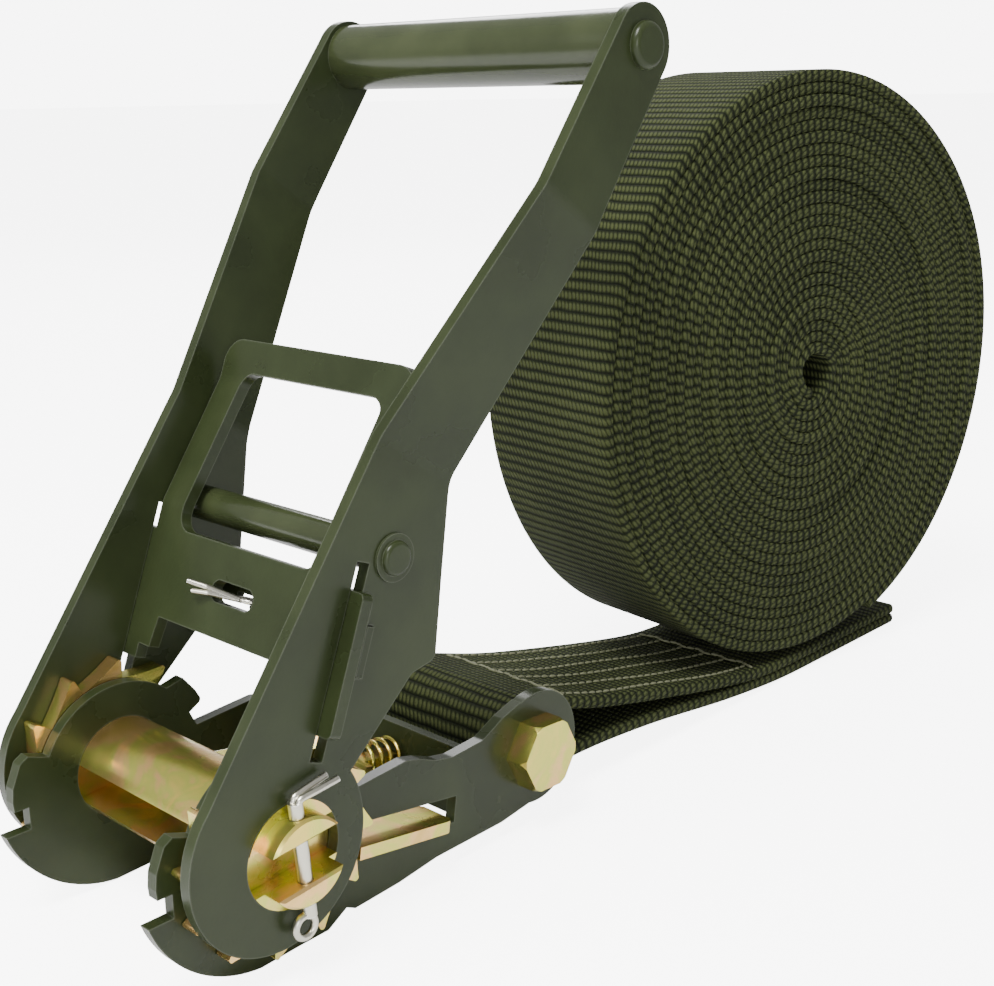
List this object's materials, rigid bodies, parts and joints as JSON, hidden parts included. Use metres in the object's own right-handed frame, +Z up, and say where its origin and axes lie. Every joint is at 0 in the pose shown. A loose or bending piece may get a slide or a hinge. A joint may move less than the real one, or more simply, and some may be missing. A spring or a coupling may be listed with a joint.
{
  "type": "ratchet strap",
  "caption": "Olive drab ratchet buckle with yellow zinc spool and pawl, opened handle, sewn webbing loop and the long webbing rolled up",
  "frame": {"origin": "on the floor under the centre of the whole object's bounding box", "axes": "+X from the ratchet buckle along the strap to the roll, +Y along the spool, +Z up"},
  "size_m": [0.3422, 0.105, 0.1998],
  "materials": {
    "olive_paint": "semi-gloss olive drab paint",
    "zinc_yellow": "yellow passivated zinc plating",
    "zinc_clear": "bright zinc plating",
    "spring_steel": "drawn spring wire, zinc plated",
    "webbing": "woven polyester webbing, olive green"
  },
  "bodies": {
    "frame": {"frame_plate_near": "olive_paint", "frame_plate_far": "olive_paint", "frame_cross_web": "olive_paint", "anchor_bolt": "zinc_yellow", "anchor_nut": "zinc_yellow", "anchor_bush": "zinc_yellow", "webbing_sewn_loop": "webbing", "webbing_roll": "webbing"},
    "handle": {"handle_plate_near": "olive_paint", "handle_plate_far": "olive_paint", "grip_tube": "olive_paint", "grip_rivet": "olive_paint", "spacer_tube": "olive_paint", "spacer_rivet": "olive_paint", "spring_bridge": "olive_paint"},
    "spool": {"spool_half_upper": "zinc_yellow", "spool_half_lower": "zinc_yellow", "ratchet_wheel_near": "zinc_yellow", "ratchet_wheel_far": "zinc_yellow", "spool_split_pin_near": "zinc_clear", "spool_split_pin_far": "zinc_clear"},
    "drive_pawl": {"drive_pawl": "olive_paint", "drive_pawl_spring": "spring_steel", "drive_pawl_split_pin": "zinc_clear"},
    "lock_pawl": {"lock_pawl": "zinc_yellow", "lock_pawl_spring": "spring_steel", "lock_pawl_split_pin": "zinc_clear"}
  },
  "joints": [
    {"name": "handle_swing", "type": "hinge", "parent": "frame", "child": "handle", "pos_m": [-0.14024, 0, 0.0283], "axis": [0, -1, 0], "range_deg": [0, 120]},
    {"name": "spool_turn", "type": "hinge", "parent": "frame", "child": "spool", "pos_m": [-0.14024, 0, 0.0283], "axis": [0, -1, 0], "continuous": true},
    {"name": "drive_pawl_slide", "type": "slide", "parent": "handle", "child": "drive_pawl", "axis": [0.3584, 0, 0.9336], "range_m": [-0.0032, 0.005], "stiffness_N_per_m": 800, "deforming": ["drive_pawl_spring"]},
    {"name": "lock_pawl_slide", "type": "slide", "parent": "frame", "child": "lock_pawl", "axis": [0.988, 0, -0.1543], "range_m": [0, 0.004], "stiffness_N_per_m": 800, "deforming": ["lock_pawl_spring"]}
  ]
}
